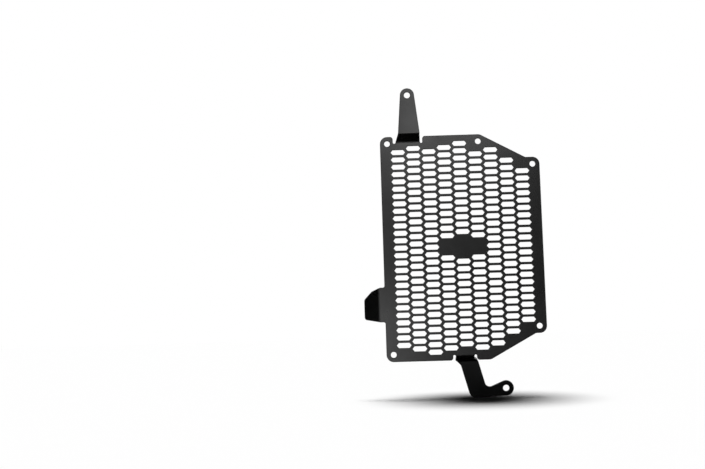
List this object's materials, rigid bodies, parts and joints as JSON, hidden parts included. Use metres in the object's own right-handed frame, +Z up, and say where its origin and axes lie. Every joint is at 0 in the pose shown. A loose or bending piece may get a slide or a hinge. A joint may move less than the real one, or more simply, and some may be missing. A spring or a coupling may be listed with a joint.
{
  "type": "motorcycle radiator guard",
  "caption": "Flat motorcycle radiator guard of folded sheet metal: a mesh of long hexagonal slots with clipped outer corners, a joggled upper bracket, an angled foot and a folded side tab.",
  "frame": {"origin": "centre of the upper fixing hole, on the seat face at the back of the upper bracket", "axes": "+Z up along the panel's straight inner edge, -Y out of the panel's front face, +X from the inner edge towards the clipped outer corners"},
  "size_m": [0.1742, 0.0158, 0.3048],
  "materials": {
    "powder_coat": "semi-gloss black powder coat on aluminium sheet"
  },
  "bodies": {
    "root": {"radiator_guard": "powder_coat"}
  },
  "joints": []
}
